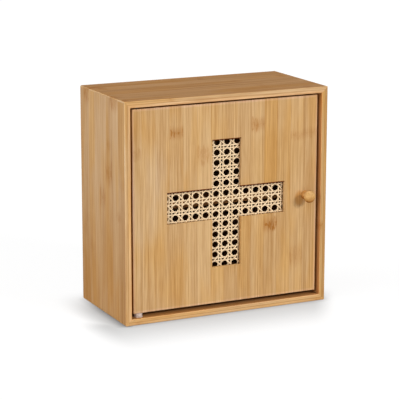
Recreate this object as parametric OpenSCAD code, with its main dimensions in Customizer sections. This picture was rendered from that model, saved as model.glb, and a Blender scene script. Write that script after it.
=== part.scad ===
// Small wall cabinet of laminated bamboo with one inset door that turns on two pivot pins.
// A cross-shaped window in the door is backed by woven cane.
// X runs along the width, Y from the front (negative) to the back, Z up, in millimetres.
// The origin is the middle of the underside.

/* [Case] */
// Outside width of the case
case_w = 300; // [270:1:420]
// Outside height of the case
case_h = 300; // [275:1:420]
// Outside depth of the case
case_d = 150; // [115:1:220]
// Thickness of the two sides, the top and the bottom
panel_t = 9; // [8:0.5:12]
// Rounding of the front edges of these panels
front_edge_r = 1.5; // [0.5:0.1:2.5]
// Rounding of the four long outer corners
corner_r = 2; // [0.5:0.1:4]
// Thickness of the loose tongue in each mitred corner
key_t = 3; // [2:0.5:4]
// Width of the tongue, half of it in each panel
key_w = 7; // [5:0.5:8]
// Wood between the tongue and the inner corner
key_inset = 3.2; // [2.5:0.1:4]
// Distance from the front and back edges to the ends of the tongue
key_stop = 20; // [10:1:35]

/* [Back] */
// Thickness of the back panel, which is also the depth of its rebate
back_t = 4; // [3:0.5:6]
// How far the back panel laps onto each case panel
back_lap = 5; // [4:0.5:6]
// Gap round the edge of the back panel
back_fit = 0.3; // [0.1:0.1:0.6]
// Distance from a case corner to the nearest brad
back_brad_inset = 40; // [25:1:60]
// Length of a back brad
back_brad_l = 14; // [10:1:18]
// Height of the hanging rail under the top panel
rail_h = 24; // [18:1:40]
// Depth of the hanging rail
rail_t = 12; // [10:1:18]
// Distance between the two wall screws
wall_screw_span = 200; // [120:1:218]
// Diameter of the holes for the wall screws
wall_screw_d = 5; // [4:0.5:7]

/* [Shelf] */
// Clear height under the shelf
lower_bay_h = 136.5; // [70:0.5:190]
// Thickness of the shelf
shelf_t = 9; // [8:0.5:14]
// Distance from the front of the case to the front of the shelf
shelf_setback = 27; // [24:1:50]
// Gap at each end of the shelf, and behind it
shelf_fit = 0.3; // [0.1:0.1:1]
// Diameter of the shelf pins
shelf_pin_d = 5; // [4:0.5:6]
// Depth of a shelf pin in the side panel
shelf_pin_depth = 6; // [4:0.5:7]
// Distance from the front or back edge of the shelf to a pin
shelf_pin_inset = 22; // [12:1:35]

/* [Door] */
// Thickness of the door
door_t = 9; // [8:0.5:12]
// How far the door lies behind the front of the case
door_setback = 5; // [2:0.5:8]
// Gap at each side of the door
gap_side = 4; // [3:0.1:5]
// Gap over the door
gap_top = 2.5; // [2:0.1:4]
// Gap under the door
gap_bottom = 5.5; // [3:0.1:8]
// Rounding of the edges of the door
door_edge_r = 1; // [0.5:0.1:2]

/* [Window] */
// Length of the level arm of the cross
window_w = 174; // [120:1:185]
// Length of the upright arm of the cross
window_h = 173; // [120:1:185]
// Width of both arms
window_arm = 42; // [20:1:60]
// Bevel round the front edge of the window
window_bevel = 0.6; // [0.2:0.1:1.5]

/* [Cane] */
// Thickness of the door in front of the webbing
cane_cover = 3.8; // [3.4:0.1:5]
// Thickness of the cane webbing
cane_t = 1.2; // [0.8:0.1:2]
// How far the webbing runs past the ends of the window
cane_margin = 12; // [10:0.5:14]
// Distance between neighbouring holes along the width
cane_pitch_x = 14.85; // [12:0.05:18]
// Distance between neighbouring holes along the height
cane_pitch_z = 13.96; // [12:0.02:18]
// Size of a hole across its flats
cane_hole = 7.8; // [5:0.1:9]
// Place of the middle hole to the right of the middle of the door
cane_shift_x = 1; // [-5:0.1:5]
// Place of the middle hole above the middle of the door
cane_shift_z = -0.8; // [-5:0.1:5]
// Lean of the columns of holes in degrees
cane_lean = 1.1; // [0:0.1:3]
// Width of the battens that hold the edges of the webbing
batten_w = 10; // [8:0.5:10]
// Thickness of the battens
batten_t = 4; // [3:0.5:6]
// Depth of a batten brad in the wood in front of the webbing
batten_brad_grip = 2.8; // [2:0.1:3]

/* [Pivots] */
// Distance from the left edge of the door to the pivot axis
pivot_inset = 8.6; // [8:0.1:14]
// Diameter of the pivot pins
pin_d = 4; // [3:0.5:5]
// Depth of a pin in the edge of the door
pin_grip = 16; // [10:1:25]
// Running gap round a pin in its bush
pin_run = 0.05; // [0.03:0.01:0.1]
// Outside diameter of the bushes
bush_d = 8; // [7:0.5:10]
// Depth of a bush in its case panel
bush_l = 6; // [4:0.5:7]
// Diameter of the flange of a bush
flange_d = 12; // [11:0.5:16]
// Thickness of the flange of a bush
flange_t = 1; // [0.8:0.1:1.2]
// Diameter of the spacer on the lower pin, which carries the door
spacer_d = 11; // [9:0.5:14]
// Gap between the spacer and the flange that it turns on
spacer_run = 0.2; // [0.1:0.05:0.4]

/* [Knob] */
// Distance from the right edge of the door to the axis of the knob
knob_inset = 18; // [14:0.5:22]
// Diameter of the head of the knob
knob_d = 17; // [14:0.5:20]
// Thickness of the head
knob_head_t = 8; // [6:0.5:9]
// Length of the knob from the door to its top
knob_l = 18; // [16:0.5:26]
// Diameter of the neck
knob_neck_d = 8.6; // [7:0.2:10]
// Diameter of the foot on the door
knob_foot_d = 12; // [10.4:0.2:14]
// Diameter of the screw that holds the knob
knob_screw_d = 3.5; // [3:0.5:4]
// Length of the screw inside the knob
knob_screw_grip = 11; // [8:0.5:13]

/* [Catch] */
// Distance from the right inner face of the case to the middle of the catch
catch_inset = 36; // [28:1:80]
// Width of the catch housing between its ears
catch_w = 26; // [22:1:34]
// Height of the catch housing
catch_h = 10; // [9:0.5:14]
// Depth of the catch housing
catch_d = 12; // [11:0.5:18]
// Length of each ear
ear_l = 7; // [6:0.5:10]
// Thickness of the ears
ear_t = 2.5; // [2:0.5:4]
// Width of the magnet and its pole plates
magnet_w = 18; // [14:1:20]
// Thickness of the magnet
magnet_t = 3; // [2:0.5:4]
// Thickness of each pole plate
pole_t = 1; // [0.8:0.1:1.2]
// Length of the pole plates
pole_l = 9; // [7:0.5:10]
// Gap between the pole plates and the strike plate
catch_gap = 0.3; // [0.2:0.1:0.6]
// Width of the strike plate
strike_w = 24; // [18:1:32]
// Height of the strike plate
strike_h = 9; // [8:0.5:12]
// Thickness of the strike plate
strike_t = 1; // [0.8:0.1:1.5]

/* [Hidden] */

$fn = 64;
// How far a cutter runs past the face that it opens
over = 1;
// Gap round a fastener, a key or a pressed pin in its own hole
fit = 0.03;

// Case: the clear space inside, and its front and back planes
inner_w = case_w - 2 * panel_t;
inner_h = case_h - 2 * panel_t;
inner_top = case_h - panel_t;
front_y = -case_d / 2;
back_y = case_d / 2;
back_face_y = back_y - back_t;
back_w = case_w - 2 * (panel_t - back_lap);
back_h = case_h - 2 * (panel_t - back_lap);
// Distance of the middle of a key from the outer corner, along the mitre
key_along = panel_t * sqrt(2) - key_inset - key_t / 2;
key_l = case_d - 2 * key_stop;

// Back brads run through the back panel into the middle of each lap
brad_line = panel_t - back_lap / 2;
back_brad_d = 1.4;
back_brad_head_d = 3;
back_brad_head_t = 0.8;

// Rail and its screws, which come through the back panel on both sides of each wall screw
rail_z = inner_top - rail_h / 2;
rail_screw_in = 40;
rail_screw_out = 24;
rail_screw_d = 3;
rail_screw_l = 13;

// Shelf, and the steel pins under it, each with a leg down the wall and a tongue under the shelf
shelf_z = panel_t + lower_bay_h;
shelf_front_y = front_y + shelf_setback;
shelf_back_y = back_face_y - shelf_fit;
shelf_pin_w = 12;
shelf_pin_tongue = 9;
shelf_pin_leg = 11;
shelf_pin_t = 1.5;
// Distance of the axis of a pin under the shelf
shelf_pin_drop = 6.5;

// Door and its window, which is in the middle of the door
door_w = inner_w - 2 * gap_side;
door_h = inner_h - gap_top - gap_bottom;
door_front_y = front_y + door_setback;
door_mid_y = door_front_y + door_t / 2;
door_back_y = door_front_y + door_t;
door_z = panel_t + gap_bottom;
door_top = door_z + door_h;
door_mid_z = door_z + door_h / 2;

// Webbing in the bottom of a rebate in the back of the door, with as many whole holes as fit inside a
// plain rim, and the battens over its edges
cane_y = door_front_y + cane_cover;
batten_y = cane_y + cane_t;
batten_back_y = batten_y + batten_t;
cane_w = window_w + 2 * cane_margin;
cane_h = window_h + 2 * cane_margin;
cane_rim = 2;
cane_rows = floor((cane_h / 2 - cane_rim - cane_hole / 2 - abs(cane_shift_z)) / cane_pitch_z);
cane_lean_step = cane_pitch_z * tan(cane_lean);
cane_cols = floor((cane_w / 2 - cane_rim - cane_hole / 2 - abs(cane_shift_x) - cane_rows * cane_lean_step)
    / cane_pitch_x);
batten_brad_d = 1.2;
batten_brad_head_d = 2.4;
batten_brad_head_t = 0.6;
batten_brad_l = batten_t + cane_t + batten_brad_grip;
// The brads of a batten stand between holes: this many holes from the middle one, where there are n
// holes on each side of it
function brad_steps(n) = [1.5 - n, -1.5, 1.5, n - 1.5];

// Pivots
pivot_x = -door_w / 2 + pivot_inset;
// Space left under a pin in its bush
pin_end_gap = 0.5;

// Knob and its screw
knob_x = door_w / 2 - knob_inset;
knob_foot_t = 1.2;
// Head of a domed screw over its shank
pan_head_share = 1.9;

// Catch under the top panel, and its strike plate on the door
catch_x = inner_w / 2 - catch_inset;
strike_front_y = door_back_y + strike_t;
catch_front_y = strike_front_y + catch_gap;
// How far the pole plates stand out of the housing, and the magnet lies behind their edges
pole_out = 0.5;
magnet_back = 1;
catch_floor_t = 2;
catch_z = inner_top - catch_h;
pole_z = catch_z + catch_floor_t;
catch_y = catch_front_y + pole_out;
ear_screw_d = 3;
ear_screw_l = 5.5;
ear_screw_head_t = 1.6;
strike_inset = 1;
strike_z = door_top - strike_inset - strike_h;
strike_screw_d = 3;
strike_screw_l = 7;

bamboo = "#cfa46c";
bamboo_edge = "#c89a63";
ply = "#825936";
cane_colour = "#e3c9a4";
steel = "#b9bbbd";
nylon = "#d9d4cc";

// A rectangle from the origin with its four corners rounded
module rounded_rect(w, h, r) {
    translate([r, 0]) square([w - 2 * r, h]);
    translate([0, r]) square([w, h - 2 * r]);
    for (x = [r, w - r], y = [r, h - r]) translate([x, y]) circle(r);
}

// Section of a board, depth by thickness, with both of its front edges rounded
module eased_section(depth, thick, r) {
    translate([0, r]) square([depth, thick - 2 * r]);
    translate([r, 0]) square([depth - r, thick]);
    for (y = [r, thick - r]) translate([r, y]) circle(r);
}

// Carries a section drawn in depth and height along the width, with its middle at x = 0
module along_x(length) {
    translate([-length / 2, 0, 0]) rotate([90, 0, 90]) linear_extrude(length) children();
}

// Carries an outline drawn in width and height from y0 back to y1
module along_y(y0, y1) {
    translate([0, y1, 0]) rotate([90, 0, 0]) linear_extrude(y1 - y0) children();
}

// A rod of diameter d from y0 back to y1
module rod_y(d, y0, y1) {
    translate([0, y1, 0]) rotate([90, 0, 0]) cylinder(d = d, h = y1 - y0);
}

// Brad with the top of its head at the origin, pointing down, or the hole for it
module brad(d, head_d, head_t, length, gap = 0) {
    translate([0, 0, -length - gap]) cylinder(d = d + 2 * gap, h = length + gap);
    translate([0, 0, -head_t]) cylinder(d = head_d + 2 * gap, h = head_t + (gap > 0 ? over : 0));
}

// Cross cut into the head of a screw of diameter d, down from the origin
module cross_recess(d) {
    for (turn = [0, 90]) rotate([0, 0, turn])
        translate([-d / 2, -d / 8, -d / 3]) cube([d, d / 4, d / 3 + over]);
}

// Countersunk screw with the top of its head at the origin, pointing down
module flat_screw(d, length) {
    difference() {
        flat_screw_shape(d, length, 0);
        cross_recess(d);
    }
}

// Outside of such a screw, or with a gap round it the hole for it
module flat_screw_shape(d, length, gap) {
    head_t = d / 2;
    translate([0, 0, -length - gap]) cylinder(d = d + 2 * gap, h = length + gap);
    translate([0, 0, -head_t]) cylinder(d1 = d + 2 * gap, d2 = 2 * d + 2 * gap, h = head_t);
    if (gap > 0) cylinder(d = 2 * d + 2 * gap, h = over);
}

// Screw with a domed head whose underside is at the origin, pointing up
module pan_screw(d, length, head_t) {
    head_d = pan_head_share * d;
    difference() {
        union() {
            cylinder(d = d, h = length);
            translate([0, 0, -head_t / 2]) cylinder(d = head_d, h = head_t / 2);
            translate([0, 0, -head_t]) cylinder(d1 = head_d - head_t, d2 = head_d, h = head_t / 2);
        }
        translate([0, 0, -head_t]) mirror([0, 0, 1]) cross_recess(d);
    }
}

// Case panel lying on its outer face, front edge eased, ends mitred and outer corners rounded
module mitred_panel(length) {
    half = length / 2;
    intersection() {
        along_x(length) translate([front_y, 0]) eased_section(case_d, panel_t, front_edge_r);
        along_y(front_y, back_y) intersection() {
            polygon([[-half, 0], [half, 0], [half - panel_t, panel_t], [panel_t - half, panel_t]]);
            translate([-half, 0]) rounded_rect(length, 3 * panel_t, corner_r);
        }
    }
}

// The four loose tongues, or the slots for them
module key_bars(gap = 0) {
    for (side = [-1, 1], level = [-1, 1])
        translate([side * (case_w - key_along * sqrt(2)) / 2, 0,
            case_h / 2 + level * (case_h - key_along * sqrt(2)) / 2])
            rotate([0, -45 * side * level, 0])
                cube([key_t + 2 * gap, key_l + 2 * gap, key_w + 2 * gap], center = true);
}

// Brads round the back panel, three to a side, or the holes for them
module back_brad_set(gap = 0) {
    side_x = case_w / 2 - brad_line;
    level_z = case_h / 2 - brad_line;
    places = [
        for (side = [-1, 1], step = [-1, 0, 1]) [side * side_x, step * (case_h / 2 - back_brad_inset)],
        for (level = [-1, 1], step = [-1, 0, 1]) [step * (case_w / 2 - back_brad_inset), level * level_z],
    ];
    for (place = places)
        translate([place[0], back_y, case_h / 2 + place[1]]) rotate([-90, 0, 0])
            brad(back_brad_d, back_brad_head_d, back_brad_head_t, back_brad_l, gap);
}

// Space for the back panel, open to the back
module back_pocket() {
    translate([-back_w / 2, back_face_y, (case_h - back_h) / 2]) cube([back_w, back_t + over, back_h]);
}

// What is cut from each of the four case panels
module case_cuts() {
    back_pocket();
    key_bars(fit);
    back_brad_set(fit);
}

// Hole for the bush of a pivot, opening at height z into a case panel in direction dir, with room
// for the flange where it is let into the panel
module bush_hole(z, dir, let_in = 0) {
    translate([pivot_x, door_mid_y, z]) mirror([0, 0, dir > 0 ? 0 : 1]) translate([0, 0, -over]) {
        cylinder(d = bush_d + 2 * fit, h = bush_l + over);
        if (let_in > 0) cylinder(d = flange_d + 2 * fit, h = let_in + over);
    }
}

// Places its child at each shelf pin of one side (-1 left, 1 right), on the inner face of the
// side panel, its Z into the panel and its X down
module at_shelf_pins(side) {
    for (y = [shelf_front_y + shelf_pin_inset, shelf_back_y - shelf_pin_inset])
        mirror([side < 0 ? 1 : 0, 0, 0])
            translate([inner_w / 2, y, shelf_z - shelf_pin_drop]) rotate([0, 90, 0]) children();
}

module shelf_pin_holes(side) {
    at_shelf_pins(side) translate([0, 0, -over])
        cylinder(d = shelf_pin_d + 2 * fit, h = shelf_pin_depth + fit + over);
}

module side_left() {
    color(bamboo) difference() {
        translate([-case_w / 2, 0, case_h / 2]) rotate([0, 90, 0]) mitred_panel(case_h);
        case_cuts();
        shelf_pin_holes(-1);
    }
}

module side_right() {
    color(bamboo) difference() {
        translate([case_w / 2, 0, case_h / 2]) rotate([0, -90, 0]) mitred_panel(case_h);
        case_cuts();
        shelf_pin_holes(1);
    }
}

module top_panel() {
    color(bamboo) difference() {
        translate([0, 0, case_h]) rotate([0, 180, 0]) mitred_panel(case_w);
        case_cuts();
        bush_hole(inner_top, 1, flange_t);
        at_ear_screws() translate([0, 0, -over])
            cylinder(d = ear_screw_d + 2 * fit, h = ear_screw_l + fit + over);
    }
}

module bottom_panel() {
    color(bamboo) difference() {
        mitred_panel(case_w);
        case_cuts();
        bush_hole(panel_t, -1);
    }
}

module corner_keys() {
    color(bamboo_edge) key_bars();
}

// Holes for the two wall screws, from y0 back to y1
module wall_screw_holes(y0, y1) {
    for (side = [-1, 1]) translate([side * wall_screw_span / 2, 0, rail_z]) rod_y(wall_screw_d, y0, y1);
}

// Places its child at each screw of the rail, on the back and pointing forwards
module at_rail_screws() {
    for (side = [-1, 1], x = [wall_screw_span / 2 - rail_screw_in, wall_screw_span / 2 + rail_screw_out])
        translate([side * x, back_y, rail_z]) rotate([-90, 0, 0]) children();
}

module rail_screw_holes() {
    at_rail_screws() flat_screw_shape(rail_screw_d, rail_screw_l, fit);
}

module back_panel() {
    color(ply) difference() {
        translate([back_fit - back_w / 2, back_face_y, (case_h - back_h) / 2 + back_fit])
            cube([back_w - 2 * back_fit, back_t, back_h - 2 * back_fit]);
        back_brad_set(fit);
        wall_screw_holes(back_face_y - over, back_y + over);
        rail_screw_holes();
    }
}

module back_brads() {
    color(steel) back_brad_set();
}

module hanging_rail() {
    color(bamboo) difference() {
        translate([0, back_face_y - rail_t, inner_top - rail_h])
            along_x(inner_w - 2 * shelf_fit) eased_section(rail_t, rail_h, front_edge_r);
        wall_screw_holes(back_face_y - rail_t - over, back_face_y + over);
        rail_screw_holes();
    }
}

module rail_screws() {
    color(steel) at_rail_screws() flat_screw(rail_screw_d, rail_screw_l);
}

module shelf() {
    color(bamboo) along_x(inner_w - 2 * shelf_fit) translate([shelf_front_y, shelf_z])
        eased_section(shelf_back_y - shelf_front_y, shelf_t, front_edge_r);
}

// One shelf pin, placed as at_shelf_pins() says
module shelf_pin() {
    translate([0, 0, -shelf_pin_t / 2]) cylinder(d = shelf_pin_d, h = shelf_pin_depth + shelf_pin_t / 2);
    translate([-shelf_pin_drop, -shelf_pin_w / 2, -shelf_pin_t])
        cube([shelf_pin_leg, shelf_pin_w, shelf_pin_t]);
    translate([-shelf_pin_drop, -shelf_pin_w / 2, -shelf_pin_tongue])
        cube([shelf_pin_t, shelf_pin_w, shelf_pin_tongue]);
}

module shelf_pins() {
    color(steel) for (side = [-1, 1]) at_shelf_pins(side) shelf_pin();
}

// Nylon bush at the face of a case panel at height z, its body in the panel, upwards if dir is 1
// and downwards if it is -1. Its flange lies on the face, or is let into it by that much.
module bush(z, dir, let_in = 0) {
    translate([pivot_x, door_mid_y, z]) mirror([0, 0, dir > 0 ? 0 : 1]) difference() {
        union() {
            cylinder(d = bush_d, h = bush_l);
            translate([0, 0, let_in - flange_t]) cylinder(d = flange_d, h = flange_t);
        }
        translate([0, 0, let_in - flange_t - over])
            cylinder(d = pin_d + 2 * pin_run, h = bush_l + flange_t + 2 * over);
    }
}

module upper_bush() {
    color(nylon) bush(inner_top, 1, flange_t);
}

module lower_bush() {
    color(nylon) bush(panel_t, -1);
}

// Places its child at each ear of the catch, against the top panel
module at_ear_screws() {
    for (side = [-1, 1])
        translate([catch_x + side * (catch_w + ear_l) / 2, catch_y + catch_d / 2, inner_top]) children();
}

module catch_housing() {
    color(nylon) difference() {
        union() {
            translate([catch_x - catch_w / 2, catch_y, catch_z]) cube([catch_w, catch_d, catch_h]);
            translate([catch_x - catch_w / 2 - ear_l, catch_y, inner_top - ear_t])
                cube([catch_w + 2 * ear_l, catch_d, ear_t]);
        }
        translate([catch_x - magnet_w / 2, catch_front_y - over, pole_z])
            cube([magnet_w, pole_l + over, magnet_t + 2 * pole_t]);
        at_ear_screws() translate([0, 0, -ear_t - over])
            cylinder(d = ear_screw_d + 2 * fit, h = ear_t + 2 * over);
    }
}

module catch_magnet() {
    color("#4a4745") translate([catch_x - magnet_w / 2, catch_front_y + magnet_back, pole_z + pole_t])
        cube([magnet_w, pole_l - magnet_back, magnet_t]);
}

module catch_poles() {
    color(steel) for (z = [pole_z, pole_z + pole_t + magnet_t])
        translate([catch_x - magnet_w / 2, catch_front_y, z]) cube([magnet_w, pole_l, pole_t]);
}

module catch_screws() {
    color(steel) at_ear_screws() translate([0, 0, -ear_t])
        pan_screw(ear_screw_d, ear_t + ear_screw_l, ear_screw_head_t);
}

// Opening w by h in the front of the door, its front edge bevelled, centred on x = 0 and z = 0
module bevelled_opening(w, h) {
    deep = door_t + 2 * over;
    translate([0, door_front_y, 0]) intersection() {
        translate([0, 0, -h / 2 - over]) linear_extrude(h + 2 * over) bevelled_profile(w, deep);
        rotate([0, 90, 0]) translate([0, 0, -w / 2 - over]) linear_extrude(w + 2 * over)
            bevelled_profile(h, deep);
    }
}

// Section of such an opening: straight walls that open out over the bevel
module bevelled_profile(w, deep) {
    half = w / 2;
    mouth = half + window_bevel;
    polygon([
        [-mouth, 0], [-mouth, -over], [mouth, -over], [mouth, 0],
        [half, window_bevel], [half, deep], [-half, deep], [-half, window_bevel],
    ]);
}

// Places its child at each batten brad, on the back of the battens and pointing into the door
module at_batten_brads() {
    translate([0, batten_back_y, door_mid_z]) {
        for (side = [-1, 1], step = brad_steps(cane_rows))
            translate([side * (cane_w - batten_w) / 2, 0, cane_shift_z + step * cane_pitch_z])
                rotate([-90, 0, 0]) children();
        for (level = [-1, 1], step = brad_steps(cane_cols))
            translate([cane_shift_x + step * cane_pitch_x, 0, level * (cane_h - batten_w) / 2])
                rotate([-90, 0, 0]) children();
    }
}

module batten_brad_holes() {
    at_batten_brads() brad(batten_brad_d, batten_brad_head_d, batten_brad_head_t, batten_brad_l, fit);
}

// Places its child at the knob, on the front of the door and pointing out of it
module at_knob() {
    translate([knob_x, door_front_y, door_mid_z]) rotate([90, 0, 0]) children();
}

// Places its child at the knob's screw, on the back of the door and pointing forwards
module at_knob_screw() {
    translate([knob_x, door_back_y, door_mid_z]) rotate([-90, 0, 0]) children();
}

// Places its child at the screw of the strike plate, on the plate and pointing forwards
module at_strike_screw() {
    translate([catch_x, strike_front_y, strike_z + strike_h / 2]) rotate([-90, 0, 0]) children();
}

module strike_screw_hole() {
    at_strike_screw() flat_screw_shape(strike_screw_d, strike_screw_l, fit);
}

module door_panel() {
    color(bamboo) difference() {
        intersection() {
            translate([-door_w / 2, door_front_y, door_z])
                linear_extrude(door_h) rounded_rect(door_w, door_t, door_edge_r);
            along_x(door_w) translate([door_front_y, door_z]) rounded_rect(door_t, door_h, door_edge_r);
        }
        translate([0, 0, door_mid_z]) {
            bevelled_opening(window_w, window_arm);
            bevelled_opening(window_arm, window_h);
        }
        translate([-cane_w / 2 - fit, cane_y, door_mid_z - cane_h / 2 - fit])
            cube([cane_w + 2 * fit, door_back_y - cane_y + over, cane_h + 2 * fit]);
        for (z = [door_z, door_top]) translate([pivot_x, door_mid_y, z])
            cylinder(d = pin_d + 2 * fit, h = 2 * pin_grip, center = true);
        at_knob_screw() flat_screw_shape(knob_screw_d, door_t + over, fit);
        batten_brad_holes();
        strike_screw_hole();
    }
}

// Six-way cane webbing, drawn as a sheet with its large eight-sided holes
module cane_webbing() {
    color(cane_colour) difference() {
        along_y(cane_y, batten_y) translate([0, door_mid_z]) difference() {
            square([cane_w, cane_h], center = true);
            translate([cane_shift_x, cane_shift_z])
                for (col = [-cane_cols : cane_cols], row = [-cane_rows : cane_rows])
                    translate([col * cane_pitch_x + row * cane_lean_step, row * cane_pitch_z])
                        rotate(22.5) circle(d = cane_hole / cos(22.5), $fn = 8);
        }
        batten_brad_holes();
    }
}

// Batten along the width over the upper or lower edge of the webbing
module level_batten(level) {
    color(bamboo_edge) difference() {
        translate([-cane_w / 2, batten_y, door_mid_z + (level * (cane_h - batten_w) - batten_w) / 2])
            cube([cane_w, batten_t, batten_w]);
        batten_brad_holes();
    }
}

// Batten along the height over the left or right edge of the webbing, between the level ones
module upright_batten(side) {
    color(bamboo_edge) difference() {
        translate([(side * (cane_w - batten_w) - batten_w) / 2, batten_y, door_mid_z - cane_h / 2 + batten_w])
            cube([batten_w, batten_t, cane_h - 2 * batten_w]);
        batten_brad_holes();
    }
}

module batten_top() {
    level_batten(1);
}

module batten_bottom() {
    level_batten(-1);
}

module batten_left() {
    upright_batten(-1);
}

module batten_right() {
    upright_batten(1);
}

module batten_brads() {
    color(steel) at_batten_brads()
        brad(batten_brad_d, batten_brad_head_d, batten_brad_head_t, batten_brad_l);
}

// Half section of the knob: a foot, a hollow curve up to the neck, and a head with a full round rim
module knob_profile() {
    neck_r = knob_neck_d / 2;
    cove_r = knob_foot_d / 2 - neck_r;
    rim_r = knob_head_t / 2;
    square([knob_foot_d / 2, knob_foot_t]);
    square([neck_r, knob_l - rim_r]);
    translate([0, knob_foot_t]) difference() {
        square([neck_r + cove_r, cove_r]);
        translate([neck_r + cove_r, cove_r]) circle(cove_r);
    }
    translate([0, knob_l - knob_head_t]) square([knob_d / 2 - rim_r, knob_head_t]);
    translate([knob_d / 2 - rim_r, knob_l - rim_r]) circle(rim_r);
}

module knob() {
    color(bamboo) at_knob() difference() {
        rotate_extrude() knob_profile();
        translate([0, 0, -over]) cylinder(d = knob_screw_d + 2 * fit, h = knob_screw_grip + fit + over);
    }
}

module knob_screw() {
    color(steel) at_knob_screw() flat_screw(knob_screw_d, door_t + knob_screw_grip);
}

// Pivot pin from z0 up to z1
module pivot_pin(z0, z1) {
    color(steel) translate([pivot_x, door_mid_y, z0]) cylinder(d = pin_d, h = z1 - z0);
}

module upper_pivot_pin() {
    pivot_pin(door_top - pin_grip + fit, inner_top + bush_l - pin_end_gap);
}

module lower_pivot_pin() {
    pivot_pin(panel_t - bush_l + pin_end_gap, door_z + pin_grip - fit);
}

// Spacer on the lower pin, between the door and the flange of the bush
module lower_spacer() {
    spacer_l = door_z - panel_t - flange_t - spacer_run;
    color(nylon) translate([pivot_x, door_mid_y, door_z - spacer_l]) difference() {
        cylinder(d = spacer_d, h = spacer_l);
        translate([0, 0, -over]) cylinder(d = pin_d + 2 * fit, h = spacer_l + 2 * over);
    }
}

module strike_plate() {
    color(steel) difference() {
        translate([catch_x - strike_w / 2, door_back_y, strike_z]) cube([strike_w, strike_t, strike_h]);
        strike_screw_hole();
    }
}

module strike_screw() {
    color(steel) at_strike_screw() flat_screw(strike_screw_d, strike_screw_l);
}

side_left();
side_right();
top_panel();
bottom_panel();
corner_keys();
back_panel();
back_brads();
hanging_rail();
rail_screws();
shelf();
shelf_pins();
upper_bush();
lower_bush();
catch_housing();
catch_magnet();
catch_poles();
catch_screws();
door_panel();
cane_webbing();
batten_top();
batten_bottom();
batten_left();
batten_right();
batten_brads();
knob();
knob_screw();
upper_pivot_pin();
lower_pivot_pin();
lower_spacer();
strike_plate();
strike_screw();
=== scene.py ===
# %% [markdown]
# A small wall cabinet of laminated bamboo, dressed for its picture.
# Every panel, pin and screw comes from the CAD model, already in its place. What is left for Blender
# is what the eye reads as bamboo, cane, steel and nylon, and the light. The model is loaded first,
# and its outside box is kept, because the floor's shade is worked out from it.

# %% Load the cabinet
import math

import bpy
import numpy as np
from mathutils import Matrix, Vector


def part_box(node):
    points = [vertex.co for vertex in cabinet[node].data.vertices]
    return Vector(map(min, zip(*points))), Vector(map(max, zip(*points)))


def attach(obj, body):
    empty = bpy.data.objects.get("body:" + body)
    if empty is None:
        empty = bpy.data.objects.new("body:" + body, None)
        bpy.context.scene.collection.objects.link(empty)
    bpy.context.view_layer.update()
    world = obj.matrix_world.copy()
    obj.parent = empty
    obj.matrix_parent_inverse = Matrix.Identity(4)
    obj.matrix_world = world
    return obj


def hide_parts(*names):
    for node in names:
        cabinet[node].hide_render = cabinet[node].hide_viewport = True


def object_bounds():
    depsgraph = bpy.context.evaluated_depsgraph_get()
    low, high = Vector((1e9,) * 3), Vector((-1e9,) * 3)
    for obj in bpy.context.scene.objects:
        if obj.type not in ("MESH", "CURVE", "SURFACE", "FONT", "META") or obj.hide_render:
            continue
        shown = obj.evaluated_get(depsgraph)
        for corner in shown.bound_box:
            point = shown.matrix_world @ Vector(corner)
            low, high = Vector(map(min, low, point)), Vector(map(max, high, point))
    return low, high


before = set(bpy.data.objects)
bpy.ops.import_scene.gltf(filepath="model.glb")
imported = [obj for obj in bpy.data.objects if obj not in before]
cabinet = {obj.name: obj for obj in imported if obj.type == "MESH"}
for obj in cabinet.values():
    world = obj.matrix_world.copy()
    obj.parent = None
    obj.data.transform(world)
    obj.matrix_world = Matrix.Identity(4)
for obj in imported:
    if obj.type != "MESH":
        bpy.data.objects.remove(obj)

cad_box = [list(corner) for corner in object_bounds()]
print("pieces of the cabinet:", len(cabinet), "box:", cad_box)

# %% [markdown]
# The picture was taken from the left and from a little above, with a long lens from far away, so
# the cabinet's edges run together only slightly. A camera can be placed by eye, or worked out from
# the corners of the case. The second way also tells the lens, so it was taken. The camera is
# described as a photographer would: where it stands, and how far it is turned and looks down.

# %% Set up the camera
PICTURE_SIDE = 400  # pixels along each side of the picture
FOCAL_PIXELS = 1736.9  # focal length, in pixels of that picture
SENSOR_WIDTH = 36.0  # millimetres
CAMERA_PLACE = (-1.0141, -2.0925, 0.6751)
TURNED_RIGHT = 0.4490  # radians from looking straight back
LOOKING_DOWN = 0.2257
TILTED = 0.0009


def camera_frame(turned, down, tilted):
    """Rotation of a camera that looks along +Y at first: tilted about its line of sight, then
    lowered by the angle down, then turned to the right."""
    return (Matrix.Rotation(-turned, 4, "Z") @ Matrix.Rotation(math.pi / 2 - down, 4, "X")
            @ Matrix.Rotation(tilted, 4, "Z"))


lens = bpy.data.cameras.new("camera")
lens.sensor_width = SENSOR_WIDTH
lens.lens = FOCAL_PIXELS * SENSOR_WIDTH / PICTURE_SIDE
camera = bpy.data.objects.new("camera", lens)
heading = camera_frame(TURNED_RIGHT, LOOKING_DOWN, TILTED)
camera.matrix_world = Matrix.Translation(CAMERA_PLACE) @ heading
bpy.context.scene.collection.objects.link(camera)
bpy.context.scene.camera = camera
bpy.context.scene.view_settings.view_transform = "Standard"
print("lens:", round(lens.lens, 1), "mm")

# %% [markdown]
# A material in Blender is a graph of nodes. It could be drawn in the shader editor, but as text it
# can be read, repeated and measured. A few short helpers keep that text readable: they add a node,
# fill its inputs and do sums. An input may be a plain value or the output of another node.

# %% Helpers that add nodes


def feed(tree, node, inputs):
    """Fills inputs of a node, given by name or number, and returns the node."""
    for key, value in dict(inputs).items():
        if isinstance(value, bpy.types.NodeSocket):
            tree.links.new(value, node.inputs[key])
        else:
            node.inputs[key].default_value = value
    return node


def add_node(tree, kind, inputs=(), **settings):
    """Adds a node of that kind, with its settings, and fills its inputs."""
    made = tree.nodes.new(kind)
    for name, value in settings.items():
        setattr(made, name, value)
    return feed(tree, made, inputs)


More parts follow.
